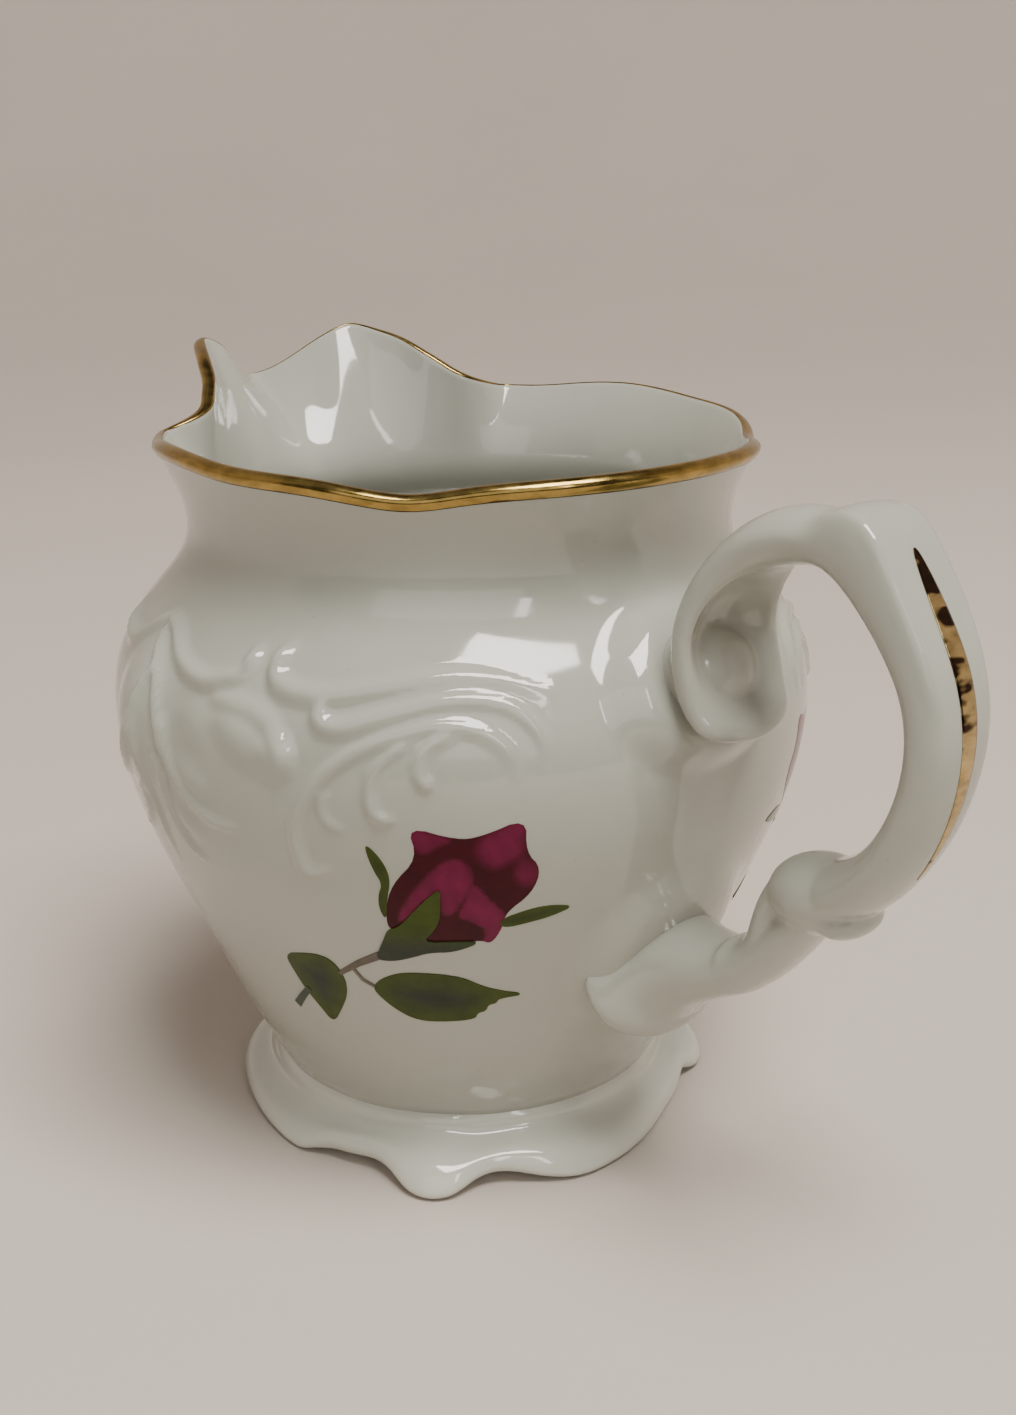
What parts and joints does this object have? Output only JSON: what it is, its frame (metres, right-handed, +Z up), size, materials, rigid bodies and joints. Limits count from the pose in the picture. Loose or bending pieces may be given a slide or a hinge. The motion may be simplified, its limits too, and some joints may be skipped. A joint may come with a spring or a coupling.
{
  "type": "porcelain cream jug",
  "caption": "Small footed cream jug with a waved rim, pouring lip, scroll handle, gilt edge and printed rose sprays.",
  "frame": {"origin": "centre of the footring, on the surface that the jug stands on", "axes": "+Z up; +X towards the handle and -X towards the pouring lip; +Y across the jug"},
  "size_m": [0.1167, 0.0804, 0.0885],
  "materials": {
    "pot_porcelain": "clear glossy glaze",
    "foot_porcelain": "clear glossy glaze, bare footring",
    "handle_porcelain": "clear glossy glaze",
    "gilding": "burnished fired gold",
    "rose_print": "glossy fired enamel print"
  },
  "bodies": {
    "root": {"body": "pot_porcelain", "foot": "foot_porcelain", "handle": "handle_porcelain", "rim_gilding": "gilding", "handle_gilding": "gilding", "rose_transfer_near": "rose_print", "rose_transfer_far": "rose_print"}
  },
  "joints": []
}
